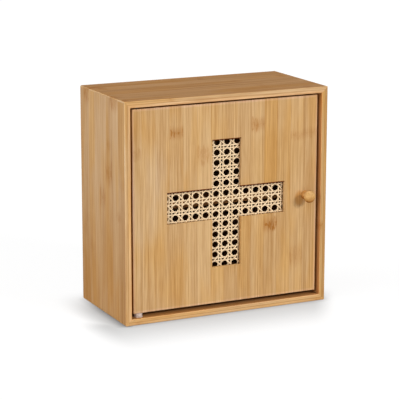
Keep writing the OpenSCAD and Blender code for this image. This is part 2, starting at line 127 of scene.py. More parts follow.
def calc(tree, operation, *values, clamp=False):
    """The result of one sum, such as ADD or MULTIPLY, of values or outputs."""
    made = add_node(tree, "ShaderNodeMath", enumerate(values), operation=operation, use_clamp=clamp)
    return made.outputs[0]


def product(tree, first, *others):
    """All the values multiplied."""
    for value in others:
        first = calc(tree, "MULTIPLY", first, value)
    return first


def swing(tree, value, size):
    """A value from 0 to 1 turned into one of that size round 0: size times (value less a half)."""
    return calc(tree, "MULTIPLY_ADD", value, size, -size / 2)


def vector_calc(tree, operation, *values):
    """The result of one sum of vectors."""
    return add_node(tree, "ShaderNodeVectorMath", enumerate(values), operation=operation).outputs[0]


def joined(tree, *values):
    """A vector put together from its X, Y and Z."""
    return add_node(tree, "ShaderNodeCombineXYZ", enumerate(values)).outputs[0]


def parts(tree, vector):
    """The X, Y and Z of a vector."""
    return add_node(tree, "ShaderNodeSeparateXYZ", {0: vector}).outputs


def object_place(tree):
    """Where a point lies in its object's own coordinates, in metres."""
    return tree.nodes.new("ShaderNodeTexCoord").outputs["Object"]


print("helpers for sums ready")

# %% [markdown]
# Colours and masks come next. A colour is three numbers or an output. A mask could have a hard
# border, but little on wood does, so masks are smooth steps. What differs from place to place is
# noise, and it can be stretched, because fibres are far longer than they are wide.

# %% Helpers for colours, steps and noise


def mix_colour(tree, share, first, second, mode="MIX"):
    """The first colour with that share of the second one over it."""
    first, second = (colour if isinstance(colour, bpy.types.NodeSocket) else (*colour, 1.0)
                     for colour in (first, second))
    inputs = {0: share, 6: first, 7: second}
    return add_node(tree, "ShaderNodeMix", inputs, data_type="RGBA", blend_type=mode).outputs[2]


def tinted(tree, share, colour, tint):
    """The colour times the tint, over that share of it."""
    return mix_colour(tree, share, colour, tint, "MULTIPLY")


def ramp(tree, value, low, high, at_low=0.0, at_high=1.0):
    """A smooth step: at_low below low, at_high above high, and an S-shaped climb between them."""
    inputs = {"Value": value, "From Min": low, "From Max": high, "To Min": at_low, "To Max": at_high}
    return add_node(tree, "ShaderNodeMapRange", inputs, interpolation_type="SMOOTHSTEP").outputs[0]


def stretched_noise(tree, place, scales, detail=2.0, roughness=0.5):
    """Noise with its own grain size along each axis: scales are how many blobs fit in a metre."""
    moved = vector_calc(tree, "MULTIPLY", place, scales)
    inputs = {"Vector": moved, "Scale": 1.0, "Detail": detail, "Roughness": roughness}
    return add_node(tree, "ShaderNodeTexNoise", inputs, noise_dimensions="3D").outputs["Fac"]


print("helpers for colours ready")

# %% [markdown]
# Bamboo shows on fourteen pieces, each with its own strips and tone. Its pattern could be copied
# into every material, but a node group is built once, like a stamp, and then placed with other
# values. The next helpers make a group, place one, and start a material.

# %% Helpers for groups and materials


def new_group(name, inputs, outputs):
    """An empty node group with these sockets, its input node and its output node. The sockets are
    given as (name, kind, value), where kind is Float, Vector or Color."""
    group = bpy.data.node_groups.new(name, "ShaderNodeTree")
    for label, kind, value in inputs:
        socket = group.interface.new_socket(label, in_out="INPUT", socket_type=f"NodeSocket{kind}")
        socket.default_value = value
    for label, kind in outputs:
        group.interface.new_socket(label, in_out="OUTPUT", socket_type=f"NodeSocket{kind}")
    return group, group.nodes.new("NodeGroupInput").outputs, group.nodes.new("NodeGroupOutput")


def use_group(tree, group, inputs):
    """Places a node group in a graph and returns its outputs."""
    return add_node(tree, "ShaderNodeGroup", inputs, node_tree=group).outputs


def new_material(name, colour):
    """A material with only a Principled BSDF, and the node tree and that node. The colour is also
    the plain one that Blender's solid view shows."""
    material = bpy.data.materials.new(name)
    material.use_nodes = True
    material.diffuse_color = (*colour, 1.0)
    shader = material.node_tree.nodes["Principled BSDF"]
    shader.inputs["Base Color"].default_value = (*colour, 1.0)
    return material, material.node_tree, shader


def relief(tree, shader, height, depth):
    """Lets a height from 0 to 1 tilt the surface as if it stood up to that depth, in metres."""
    bump = add_node(tree, "ShaderNodeBump", {"Height": height, "Distance": depth, "Strength": 1.0})
    feed(tree, shader, {"Normal": bump.outputs["Normal"]})


print("helpers for groups and materials ready")

# %% [markdown]
# The cabinet throws a soft shade on the floor. Wide lamps alone leave it too faint. The case never
# moves, so its shade can be worked out from its box: wide and even before the front, narrow and
# deeper along the left side. Right at the foot, ambient occlusion adds the dark line where things
# meet the floor.

# %% Work out the shade of the case
FRONT_SHADE = 0.44  # how dark it is right before the case
FRONT_FADES = (-0.020, 0.120)  # from full shade to none, in metres before the case
FRONT_STARTS = (-0.060, -0.010)  # where it sets in under the case, in the same measure
FRONT_ENDS_LEFT = (0.018, 0.062)  # where it ends, left of the case
FRONT_ENDS_RIGHT = 0.020  # half the width of its soft end on the right
FRONT_SLANT = 0.55  # how far that end moves left for each metre ahead
SIDE_SHADE = 0.67
SIDE_FADES = (-0.010, 0.050)  # from full shade to none, in metres left of the case
SIDE_STARTS = (-0.020, -0.005)
SIDE_ENDS_BEHIND = (-0.190, -0.075)
SIDE_ENDS_AHEAD = (-0.005, 0.020)
FOOT_SHADE, FOOT_REACH = 0.34, 0.012


def shade_of_case(tree):
    """How dark the floor is near the case. Before the case and beside it, a smooth step away from
    the case is multiplied by others that end the shade on its other sides. The darker of the two
    counts, and the shade at the foot is added."""
    (left, _, _), (right, _, _) = cad_box
    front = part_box("side_left")[0][1]
    place = parts(tree, object_place(tree))
    aside = calc(tree, "SUBTRACT", left, place["X"])
    ahead = calc(tree, "SUBTRACT", front, place["Y"])
    slanted = calc(tree, "MULTIPLY_ADD", ahead, FRONT_SLANT, place["X"])
    right_end = (right - FRONT_ENDS_RIGHT, right + FRONT_ENDS_RIGHT)
    before = product(
        tree, ramp(tree, ahead, *FRONT_FADES, FRONT_SHADE, 0.0), ramp(tree, ahead, *FRONT_STARTS),
        ramp(tree, aside, *FRONT_ENDS_LEFT, 1.0, 0.0), ramp(tree, slanted, *right_end, 1.0, 0.0))
    beside = product(
        tree, ramp(tree, aside, *SIDE_FADES, SIDE_SHADE, 0.0), ramp(tree, aside, *SIDE_STARTS),
        ramp(tree, ahead, *SIDE_ENDS_BEHIND), ramp(tree, ahead, *SIDE_ENDS_AHEAD, 1.0, 0.0))
    reach = {"Distance": FOOT_REACH}
    openness = add_node(tree, "ShaderNodeAmbientOcclusion", reach, samples=16).outputs["AO"]
    foot = calc(tree, "MULTIPLY_ADD", openness, -FOOT_SHADE, FOOT_SHADE)
    return calc(tree, "ADD", calc(tree, "MAXIMUM", before, beside), foot)


print("shade before the case:", FRONT_SHADE, "beside it:", SIDE_SHADE, "at its foot:", FOOT_SHADE)

# %% [markdown]
# The floor of the studio is one large pale face. Lamps strong enough to turn it white would burn
# out the cabinet too, so they stay at a plain level, at which the front of the door shows its own
# colour. The floor turns white in another way: it gives off a light that only the camera and
# reflections see, and that light is held back in the shade.

# %% Lay the floor
FLOOR_HALF = 4.0  # half the side of the floor, in metres
FLOOR_DROP = 0.0001  # how far it lies under the case
FLOOR_COLOUR = (0.80, 0.80, 0.80)  # for the light that the floor sends back to the cabinet
FLOOR_SEEN = (0.15, 0.15, 0.15)  # for the light that the camera sees on it, under the glow
FLOOR_GLOW = 0.90
WHITE = (1.0, 1.0, 1.0, 1.0)


def seen_directly(tree):
    """1 for what the camera, a reflection or a look through glass meets, and 0 for other light."""
    path = tree.nodes.new("ShaderNodeLightPath").outputs
    seen = calc(tree, "MAXIMUM", path["Is Camera Ray"], path["Is Glossy Ray"])
    return calc(tree, "MAXIMUM", seen, path["Is Transmission Ray"])


floor_mesh = bpy.data.meshes.new("floor")
corners = [(-1, -1), (1, -1), (1, 1), (-1, 1)]
floor_mesh.from_pydata([(FLOOR_HALF * x, FLOOR_HALF * y, -FLOOR_DROP) for x, y in corners], [],
                       [(0, 1, 2, 3)])
floor = bpy.data.objects.new("floor", floor_mesh)
bpy.context.scene.collection.objects.link(floor)

paint, tree, shader = new_material("studio_floor", FLOOR_COLOUR)
openness = calc(tree, "SUBTRACT", 1.0, shade_of_case(tree), clamp=True)
seen = seen_directly(tree)
feed(tree, shader, {
    "Base Color": mix_colour(tree, seen, FLOOR_COLOUR, FLOOR_SEEN), "Roughness": 1.0,
    "Specular IOR Level": 0.0, "Emission Color": WHITE,
    "Emission Strength": product(tree, seen, FLOOR_GLOW, openness)})
floor_mesh.materials.append(paint)
print("floor ready,", len(tree.nodes), "nodes")

# %% [markdown]
# Round a product in a studio hangs white paper. A large sphere could stand for it, but the world
# does the same without a mesh. The camera sees it as white, and the cabinet gets only a fifth of
# that light from it, so that the lamps still shape it.

# %% Make the sky
SKY_LIGHT = 0.20

world = bpy.data.worlds.new("studio")
world.use_nodes = True
sky = world.node_tree
strength = calc(sky, "MULTIPLY_ADD", seen_directly(sky), 1.0 - SKY_LIGHT, SKY_LIGHT)
feed(sky, sky.nodes["Background"], {"Color": WHITE, "Strength": strength})
bpy.context.scene.world = world
print("sky ready, its light on the cabinet:", SKY_LIGHT)

# %% [markdown]
# Three large soft lamps do the rest. One stands high to the right of the camera and throws the soft
# shadow of the knob down to the left. The others stand low on the left and keep the left side
# nearly as bright as the front. Area lamps would do, but their light fades with the distance. That
# of a sun lamp doesn't, and the wider its angle, the softer its shadow.

# %% Hang the lamps


def add_sun(name, place, power, degrees):
    """A sun lamp that stands in the direction of that place, with its power and angular size."""
    lamp = bpy.data.lights.new(name, "SUN")
    lamp.energy = power
    lamp.angle = math.radians(degrees)
    sun = bpy.data.objects.new(name, lamp)
    lowered = math.acos(place[2] / np.linalg.norm(place))
    turned = math.atan2(place[0], -place[1])
    sun.rotation_euler = (lowered, 0.0, turned)
    bpy.context.scene.collection.objects.link(sun)


add_sun("key_lamp", (0.46, -0.78, 0.45), 1.84, 15.0)
add_sun("fill_lamp", (-0.88, -0.40, 0.15), 1.75, 110.0)
add_sun("left_lamp", (-1.00, 0.15, 0.20), 2.60, 90.0)
print("lamps:", [lamp.name for lamp in bpy.data.lights])

# %% [markdown]
# Laminated bamboo is glued up from strips about 20 mm wide, and where a stem had a knuckle its strip
# shows a short brown mark right across. A painted picture would look cut off at the edges of a
# board, so the mark is worked out in three dimensions, from a place given as (across the strips,
# along them, through the board). It is a group of its own, because some knuckles come by chance and
# others are listed one by one.

# %% Build the mark of a knuckle
BOW = 0.0022  # how far the scar bows at the borders of its strip, in metres
WAVER = 0.006  # how far it wavers
SCAR = (0.0003, 0.0013)  # half its width, from full to none
SCAR_SHARE, HALO_SHARE = 0.65, 0.50  # how dark scar and halo are beside the ticks
TICKS_FROM = (0.42, 0.60)  # values of the noise from no tick to a full one
LENGTHS_FROM = (0.35, 0.65)  # values of the noise for the shortest and the longest ticks
TICK_LENGTHS = (0.3, 1.5)  # those lengths, in half heights
TICK_ENDS = (0.55, 1.0)  # where a tick fades out, in its own length
HALO_ENDS = (0.2, 1.6)  # where the halo fades out, in half heights
STRIP_ENDS = (0.90, 1.0)  # where the mark fades out across its strip, in half widths
MARK_GRAIN = {  # how many blobs fit in a metre: across, along, through
    "waver": (220.0, 12.0, 220.0),
    "ticks": (360.0, 90.0, 360.0),
    "lengths": (260.0, 1.0, 260.0),
}
MARK_TINT = (0.66, 0.42, 0.17)


def knuckle_group():
    """A mask for one knuckle. It has a scar, which is a thin line that bows a little from border to
    border; dark ticks along the grain, each reaching its own distance to both sides of the scar;
    and a faint halo round them. Half Height is how far the middling ticks reach."""
    group, given, result = new_group(
        "knuckle_mark",
        [("Place", "Vector", (0, 0, 0)), ("Across", "Float", 0.0), ("Along", "Float", 0.0),
         ("Half Width", "Float", 0.01), ("Half Height", "Float", 0.006), ("Strength", "Float", 1.0)],
        [("Mask", "Float")])
    place, half_height = given["Place"], given["Half Height"]
    axes = parts(group, place)
    aside = calc(group, "SUBTRACT", axes["X"], given["Across"])
    aside = calc(group, "DIVIDE", aside, given["Half Width"])
    along = calc(group, "SUBTRACT", axes["Y"], given["Along"])
    along = calc(group, "SUBTRACT", along, product(group, aside, aside, BOW))
    wobble = stretched_noise(group, place, MARK_GRAIN["waver"], 1.0)
    along = calc(group, "ADD", along, swing(group, wobble, WAVER))
    distance = calc(group, "ABSOLUTE", along)

    ticks = stretched_noise(group, place, MARK_GRAIN["ticks"], 2.0, 0.6)
    ticks = ramp(group, ticks, *TICKS_FROM)
    length = stretched_noise(group, place, MARK_GRAIN["lengths"], 1.0)
    length = ramp(group, length, *LENGTHS_FROM, *TICK_LENGTHS)
    reach = calc(group, "DIVIDE", distance, calc(group, "MULTIPLY", length, half_height))
    ticks = calc(group, "MULTIPLY", ticks, ramp(group, reach, *TICK_ENDS, 1.0, 0.0))
    scar = ramp(group, distance, *SCAR, SCAR_SHARE, 0.0)
    halo = calc(group, "DIVIDE", distance, half_height)
    halo = ramp(group, halo, *HALO_ENDS, HALO_SHARE, 0.0)
    pattern = calc(group, "MAXIMUM", calc(group, "MAXIMUM", ticks, scar), halo)
    inside = ramp(group, calc(group, "ABSOLUTE", aside), *STRIP_ENDS, 1.0, 0.0)
    feed(group, result, {"Mask": product(group, inside, pattern, given["Strength"])})
    return group


KNUCKLE = knuckle_group()
print("knuckle mark:", len(KNUCKLE.nodes), "nodes")

# %% [markdown]
# Each strip of the laminate comes from another stem, so its tone differs from its neighbours', and
# fine fibres run along it. One noise drawn out along the grain would look like brushed paint. Wood
# has detail of every size, so several are laid over each other, from a slow drift in tone down to
# single fibres. What makes them look like bamboo is written down first: how fine each noise is, how
# much it counts, and how wide the lines of glue are.

# %% Choose the grain of the bamboo
GRAIN = {  # how many blobs fit in a metre: across, along, through
    "drift": (25.0, 5.0, 25.0),
    "glow": (30.0, 7.0, 30.0),
    "bands": (230.0, 4.0, 230.0),
    "streaks": (560.0, 9.0, 560.0),
    "fibres": (1500.0, 40.0, 1500.0),
}
DRIFT, BANDS, STREAKS, FIBRES = 0.6, 1.3, 2.8, 1.6  # how much each moves the tone
CHANCE_JUMP = (3.0, 5.0, 7.0)  # how far apart the strips read the noise, in metres
WARM_TINT = (1.0, 0.91, 0.70)
WARM_FROM = (0.38, 0.64, -0.3, 0.7)  # two values of the noise, and how warm the wood is there
WARM_BY_CHANCE = 0.4  # how much warmer a strip can be than its neighbour
GLUE_TINT, GLUE_SHARE = (0.60, 0.48, 0.38), 0.7
STRIP_JOINT = (0.00008, 0.0003, 0.5)  # half the width of a glue line, full and faded, and its share
PLY_JOINT = (0.00010, 0.00050, 1.0)
KNUCKLE_SPACING = 0.27  # metres from knuckle to knuckle along a stem
KNUCKLE_START = 7.0  # the most that a strip's knuckles are moved by chance, in spacings
ROUGHNESS = (0.16, 0.72)  # how much the streaks add to it, and what it is without them
print("grain, from coarse to fine:", list(GRAIN))

# %% [markdown]
# The cabinet has more than a hundred strips. A tone could be given to each by hand, but here the
# strips and plies draw their own by chance, from a white noise that is fed with their numbers, so
# that the same strip has the same tone on every face of its board.

# %% Build the bamboo laminate


def bamboo_group():
    """Colour, roughness and height of laminated bamboo. Each strip and ply draws its own tone and
    warmth; slow noise drifts along it; bands, streaks and fibres are noise drawn out along the
    grain, each finer than the last; thin dark lines mark the glue; and knuckles come at a steady
    spacing that starts at a chance place in each strip."""
    group, given, result = new_group(
        "bamboo_laminate",
        [("Place", "Vector", (0, 0, 0)), ("Border", "Float", 0.0), ("Strip", "Float", 0.02),
         ("Ply", "Float", 0.0045), ("Seed", "Float", 0.0),
         ("Pale", "Color", (0.70, 0.45, 0.22, 1)), ("Deep", "Color", (0.46, 0.25, 0.09, 1)),
         ("Spread", "Float", 0.3), ("Streaks", "Float", 0.5), ("Knuckles", "Float", 0.5)],
        [("Colour", "Color"), ("Roughness", "Float"), ("Height", "Float")])
    axes = parts(group, given["Place"])

    strip_at = calc(group, "SUBTRACT", axes["X"], given["Border"])
    strip_at = calc(group, "DIVIDE", strip_at, given["Strip"])
    strip = calc(group, "FLOOR", strip_at)
    ply_at = calc(group, "DIVIDE", axes["Z"], given["Ply"])
    which = joined(group, strip, calc(group, "FLOOR", ply_at), given["Seed"])
    draw = add_node(group, "ShaderNodeTexWhiteNoise", {"Vector": which}, noise_dimensions="3D")
    draw = draw.outputs["Color"]
    chance = add_node(group, "ShaderNodeSeparateColor", {0: draw}).outputs

    jump = vector_calc(group, "MULTIPLY", draw, CHANCE_JUMP)
    own = vector_calc(group, "ADD", given["Place"], jump)
    drift, glow, bands = (
        stretched_noise(group, own, GRAIN[name]) for name in ("drift", "glow", "bands"))
    streaks, fibres = (
        stretched_noise(group, own, GRAIN[name], 2.0, 0.6) for name in ("streaks", "fibres"))

    tone = calc(group, "MULTIPLY", calc(group, "SUBTRACT", chance[0], 0.5), given["Spread"])
    tone = calc(group, "ADD", tone, swing(group, drift, DRIFT))
    grain = calc(group, "ADD", swing(group, bands, BANDS), swing(group, streaks, STREAKS))
    grain = calc(group, "ADD", grain, swing(group, fibres, FIBRES))
    tone = calc(group, "MULTIPLY_ADD", grain, given["Streaks"], tone)
    tone = calc(group, "ADD", tone, 0.5, clamp=True)
    colour = mix_colour(group, tone, given["Pale"], given["Deep"])
    warm = ramp(group, glow, *WARM_FROM)
    warm = calc(group, "MULTIPLY_ADD", chance[1], WARM_BY_CHANCE, warm)
    colour = tinted(group, calc(group, "MAXIMUM", warm, 0.0), colour, WARM_TINT)

    glue = []
    for at, size, joint in ((strip_at, "Strip", STRIP_JOINT), (ply_at, "Ply", PLY_JOINT)):
        edge = calc(group, "MULTIPLY", calc(group, "PINGPONG", at, 0.5), given[size])
        glue.append(ramp(group, edge, *joint, 0.0))
    glue = calc(group, "MAXIMUM", *glue)
    colour = tinted(group, calc(group, "MULTIPLY", glue, GLUE_SHARE), colour, GLUE_TINT)

    start = calc(group, "MULTIPLY", chance[2], KNUCKLE_START)
    run = calc(group, "ADD", calc(group, "DIVIDE", axes["Y"], KNUCKLE_SPACING), start)
    nearest = calc(group, "ADD", calc(group, "FLOOR", run), 0.5)
    nearest = calc(group, "SUBTRACT", nearest, start)
    middle = calc(group, "ADD", strip, 0.5)
    middle = calc(group, "MULTIPLY_ADD", middle, given["Strip"], given["Border"])
    mark = use_group(group, KNUCKLE, {
        "Place": given["Place"], "Across": middle,
        "Along": calc(group, "MULTIPLY", nearest, KNUCKLE_SPACING),
        "Half Width": calc(group, "MULTIPLY", given["Strip"], 0.5),
        "Strength": calc(group, "MULTIPLY", given["Knuckles"], chance[1])})["Mask"]
    colour = tinted(group, mark, colour, MARK_TINT)

    height = calc(group, "MULTIPLY_ADD", fibres, 0.5, calc(group, "MULTIPLY", streaks, 0.5))
    feed(group, result, {
        "Colour": colour, "Roughness": calc(group, "MULTIPLY_ADD", streaks, *ROUGHNESS),
        "Height": calc(group, "SUBTRACT", height, glue)})
    return group


BAMBOO = bamboo_group()
print("bamboo laminate:", len(BAMBOO.nodes), "nodes")

# %% [markdown]
# The rounded front edges of the case and the door catch the light, and a painted highlight makes
# them a little lighter than the faces. On the door, the narrow faces behind them get painted shade,
# darker and redder, as in the gap round it. Such edges are often found with the Pointiness of a
# mesh, which needs many vertices. Here every edge lies on the board's own box, so the masks need
# only two measures: how far a point lies from the front, and how far from the nearest of the four
# narrow faces.

# %% Build the masks for the painted highlight and shade at the front edges
HIGHLIGHT_BEHIND = 0.0016  # how far the painted highlight reaches behind the front face, in metres
HIGHLIGHT_ENDS = (0.35, 1.0)  # where the painted highlight fades out, in its own reach
FRONT_SKIN = (0.0004, 0.0014)  # depth over which the front face ends
SIDE_SKIN = (0.0001, 0.0005)  # depth over which a narrow face ends
RIM_STARTS = (0.0008, 0.0018)  # depth over which the narrow faces begin
HALF = (0.5, 0.5, 0.5)


def front_edge_group():
    """Highlight is 1 on the rounded front edges of a box from Low to High, and falls to 0 within
    Reach of them on the front face; it carries a painted highlight. Rim Shade is 1 on the narrow
    faces behind them, for painted shade, and Front is 1 on the front face. The distance to the sides
    is half the box's size less the distance from its middle."""
    group, given, result = new_group(
        "front_edge",
        [("Place", "Vector", (0, 0, 0)), ("Low", "Vector", (0, 0, 0)), ("High", "Vector", (1, 1, 1)),
         ("Reach", "Float", HIGHLIGHT_BEHIND)],
        [("Highlight", "Float"), ("Rim Shade", "Float"), ("Front", "Float")])
    place, low, high = given["Place"], given["Low"], given["High"]
    middle = vector_calc(group, "MULTIPLY", vector_calc(group, "ADD", low, high), HALF)
    half = vector_calc(group, "MULTIPLY", vector_calc(group, "SUBTRACT", high, low), HALF)
    away = vector_calc(group, "ABSOLUTE", vector_calc(group, "SUBTRACT", place, middle))
    depth = parts(group, vector_calc(group, "SUBTRACT", half, away))
    from_front = calc(group, "SUBTRACT", parts(group, place)["Y"], parts(group, low)["Y"])
    from_side = calc(group, "MINIMUM", depth["X"], depth["Z"])
    near = calc(group, "MAXIMUM", calc(group, "DIVIDE", from_front, HIGHLIGHT_BEHIND),
                calc(group, "DIVIDE", from_side, given["Reach"]))
    on_side = ramp(group, from_side, *SIDE_SKIN, 1.0, 0.0)
    feed(group, result, {
        "Highlight": ramp(group, near, *HIGHLIGHT_ENDS, 1.0, 0.0),
        "Rim Shade": calc(group, "MULTIPLY", on_side, ramp(group, from_front, *RIM_STARTS)),
        "Front": ramp(group, from_front, *FRONT_SKIN, 1.0, 0.0)})
    return group


FRONT_EDGE = front_edge_group()
print("front edge:", len(FRONT_EDGE.nodes), "nodes")

# %% [markdown]
# Every board gets its own material from those groups. One material for all would give each board
# the same strips, and its grain would run the same way in the top as in the sides. What differs is
# how the board lies, where its strips start, how pale or deep it is, and which of its faces have a
# tint of their own.

# %% Write the material of a board
STRIP = 0.020  # width of a strip, in metres
PLY = 0.0045  # thickness of one of its layers
PALE = (0.665, 0.435, 0.218)
DEEP = (0.437, 0.234, 0.088)
# painted highlight on the rounded front edges of the case
EDGE_HIGHLIGHT_TINT = (1.16, 1.16, 1.18)
SKIN = 0.001  # depth over which a tint of the outer face sets in
FIBRE_RELIEF = 0.00006
LACQUER_GLOSS = 0.05  # specular level of the dull satin lacquer


def board_place(tree, across, along, through, shift):
    """The place of a point as (across, along, through), taken from object coordinates. Each name is
    an axis, and |X| measures from the middle, so that both sides of the case come out as mirror
    images. The shift moves the plies, in metres."""
    axes = parts(tree, object_place(tree))
    depth = calc(tree, "ABSOLUTE", axes["X"]) if through == "|X|" else axes[through]
    return joined(tree, axes[across], axes[along], calc(tree, "ADD", depth, shift))


def bamboo_board(name, lies, seed, border=0.0, shift=0.0, pale=PALE, deep=DEEP, spread=0.27,
                 streaks=0.55, knuckles=0.5, ply=PLY, strip=STRIP, marks=(), fade=None, inner=None,
                 edges_of=None, reach=HIGHLIGHT_BEHIND, highlight_tint=EDGE_HIGHLIGHT_TINT, rim_shade=None, front=None):
    """A bamboo material. lies names the axes across, along and through the board. marks are knuckles
    listed one by one: (across, along, half width, half height, strength). fade gives two places
    along the board, the tints there, and the depth beyond which they count, if they are for the
    outer face alone. inner gives two depths through the board, and the tint, a painted shade or
    light, that it has beyond the second. edges_of names the piece whose rounded front edges get a
    painted highlight, reach says how far it reaches, and highlight_tint how pale it is. rim_shade is
    the painted shade of the narrow faces. front gives two depths through the board, and the tints of
    the front face there, which paint highlight and shade on it."""
    material, tree, shader = new_material(name, [(a + b) / 2 for a, b in zip(pale, deep)])
    place = board_place(tree, *lies, shift)
    look = use_group(tree, BAMBOO, {
        "Place": place, "Border": border, "Strip": strip, "Ply": ply, "Seed": float(seed),
        "Pale": (*pale, 1.0), "Deep": (*deep, 1.0), "Spread": spread, "Streaks": streaks,
        "Knuckles": knuckles})
    colour = look["Colour"]
    axes = parts(tree, place)
    for across, along, half_width, half_height, strength in marks:
        mask = use_group(tree, KNUCKLE, {
            "Place": place, "Across": across, "Along": along, "Half Width": half_width,
            "Half Height": half_height, "Strength": strength})["Mask"]
        colour = tinted(tree, mask, colour, MARK_TINT)
    if fade:
        start, end, start_tint, end_tint, skin = fade
        tint = mix_colour(tree, ramp(tree, axes["Y"], start, end), start_tint, end_tint)
        share = ramp(tree, axes["Z"], skin, skin + SKIN) if skin else 1.0
        colour = tinted(tree, share, colour, tint)
    # a tint beyond a depth: painted shade or light on inner faces and under the knob
    if inner:
        start, end, tint = inner
        colour = tinted(tree, ramp(tree, axes["Z"], start, end), colour, tint)
    if edges_of:
        low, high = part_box(edges_of)
        edge_masks = use_group(tree, FRONT_EDGE, {
            "Place": object_place(tree), "Low": tuple(low), "High": tuple(high), "Reach": reach})
        # painted highlight on the rounded front edges
        colour = tinted(tree, edge_masks["Highlight"], colour, highlight_tint)
        # painted shade on the narrow faces behind them
        if rim_shade:
            colour = tinted(tree, edge_masks["Rim Shade"], colour, rim_shade)
        # painted highlight and shade on the front face
        if front:
            start, end, start_tint, end_tint = front
            tint = mix_colour(tree, ramp(tree, axes["Z"], start, end), start_tint, end_tint)
            colour = tinted(tree, edge_masks["Front"], colour, tint)
    feed(tree, shader, {"Base Color": colour, "Roughness": look["Roughness"],
                        "Specular IOR Level": LACQUER_GLOSS})
    relief(tree, shader, look["Height"], FIBRE_RELIEF)
    return material


print("board material ready, strips:", STRIP, "plies:", PLY)

# %% [markdown]
# Each CAD piece came in with a plain material. That could be changed by hand in the material tab,
# but a short helper does it for all the pieces that share a finish.

# %% Helper that dresses pieces


def dress(material, *names):
    """Gives CAD pieces a material, in place of what they came with."""
    for name in names:
        mesh = cabinet[name].data
        mesh.materials.clear()
        mesh.materials.append(material)
    print(material.name, "on", *names)


print("dressing helper ready")

# %% [markdown]
# The strips of the sides stand upright, and those of the top, the bottom and the shelf run from
# left to right. The material could be turned with a Mapping node, but naming the axes is plainer.
# The knuckles that catch the eye are listed one by one, and the rest come by chance. The left side
# is paler towards its top. The inner faces of the case that look into the gap round the door get
# painted shade, darker and redder, and the inner face of the right side gets painted light. The
# shelf and the back are made dark, brown boards, and the top of the shelf darker still, as painted
# shade inside the case, so that the holes of the cane look nearly black.

# %% Dress the case
UPRIGHT_SIDE = ("Y", "Z", "|X|")
LEVEL = ("Y", "X", "Z")
UPRIGHT_FRONT = ("X", "Z", "Y")
LEVEL_FRONT = ("Z", "X", "Y")
TURNED = ("X", "Y", "Z")  # grain from front to back
SHADED_TINT = (0.90, 0.72, 0.56)
SIDE_FADE = (0.02, 0.24, (0.90, 0.94, 0.97), (1.03, 1.21, 1.55), 0.1472)
# painted shade on the inner face of the left side
SIDE_INNER_SHADE = (0.1412, 0.1398, SHADED_TINT)
# a painted highlight on the front face of the left side, stronger near its inner edge
SIDE_FRONT_HIGHLIGHT = (0.1400, 0.1480, (1.13, 1.14, 1.18), (1.05, 1.08, 1.13))
SIDE_MARKS = [
    (0.0540, 0.2960, 0.010, 0.016, 0.50),
    (-0.0400, 0.2970, 0.014, 0.012, 0.50),
    (-0.0220, 0.1955, 0.012, 0.014, 0.46),
    (0.0000, 0.1600, 0.011, 0.014, 0.42),
    (-0.0550, 0.1430, 0.008, 0.007, 0.30),
    (0.0640, 0.1040, 0.008, 0.010, 0.25),
]
RIGHT_PALE, RIGHT_DEEP = (0.60, 0.375, 0.165), (0.40, 0.205, 0.065)
# painted light on the inner face of the right side
RIGHT_INNER_LIGHT = (0.1402, 0.1396, (1.25, 1.08, 1.00))
TOP_PALE, TOP_DEEP = (0.69, 0.455, 0.235), (0.455, 0.245, 0.098)
# painted shade under the top
TOP_UNDERSIDE_SHADE = (0.2889, 0.2882, SHADED_TINT)
# on the top's front face, a painted highlight near its lower edge and painted shade near its upper
# edge
TOP_FRONT_HIGHLIGHT_AND_SHADE = (0.2890, 0.2965, (1.27, 1.31, 1.40), (0.86, 0.85, 0.84))
TOP_MARKS = [(0.0440, -0.1480, 0.010, 0.016, 0.60), (-0.0360, -0.1500, 0.010, 0.012, 0.45)]
# painted shade on the inner face of the bottom
BOTTOM_INNER_SHADE = (0.0084, 0.0089, (0.95, 0.82, 0.70))
# the shelf is made dark, and its top darker still: painted shade inside the case
SHELF_PALE, SHELF_DEEP = (0.42, 0.20, 0.07), (0.28, 0.11, 0.03)
shelf_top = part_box("shelf")[1][2]
SHELF_TOP_SHADE = (shelf_top - 0.0006, shelf_top - 0.0002, (0.45, 0.35, 0.30))
# the back is made dark: painted shade inside the case
BACK_PALE, BACK_DEEP = (0.28, 0.13, 0.05), (0.17, 0.07, 0.025)

dress(bamboo_board("bamboo_of_left_side", UPRIGHT_SIDE, 13, border=0.006, shift=-0.0015,
                   streaks=0.5, spread=0.45, knuckles=0.2, marks=SIDE_MARKS, fade=SIDE_FADE,
                   inner=SIDE_INNER_SHADE, edges_of="side_left", front=SIDE_FRONT_HIGHLIGHT), "side_left")
dress(bamboo_board("bamboo_of_right_side", UPRIGHT_SIDE, 8, border=0.002, shift=-0.0015,
                   pale=RIGHT_PALE, deep=RIGHT_DEEP, streaks=0.5, spread=0.4, inner=RIGHT_INNER_LIGHT,
                   edges_of="side_right"), "side_right")
dress(bamboo_board("bamboo_of_top", LEVEL, 11, border=0.004, shift=-0.003, pale=TOP_PALE,
                   deep=TOP_DEEP, streaks=0.6, spread=0.4, marks=TOP_MARKS, inner=TOP_UNDERSIDE_SHADE,
                   edges_of="top_panel", front=TOP_FRONT_HIGHLIGHT_AND_SHADE), "top_panel")
dress(bamboo_board("bamboo_of_bottom", LEVEL, 17, border=0.001, inner=BOTTOM_INNER_SHADE,
                   edges_of="bottom_panel"), "bottom_panel")
dress(bamboo_board("bamboo_of_shelf", LEVEL, 23, border=0.003, pale=SHELF_PALE, deep=SHELF_DEEP,
                   inner=SHELF_TOP_SHADE), "shelf")
dress(bamboo_board("bamboo_of_back", UPRIGHT_FRONT, 47, pale=BACK_PALE, deep=BACK_DEEP,
                   spread=0.35, knuckles=0.25, ply=0.0013, strip=0.055), "back_panel")
dress(bamboo_board("bamboo_of_rail", LEVEL_FRONT, 29, spread=0.3, knuckles=0.3), "hanging_rail")
dress(bamboo_board("bamboo_of_keys", TURNED, 31, spread=0.3, knuckles=0.0), "corner_keys")

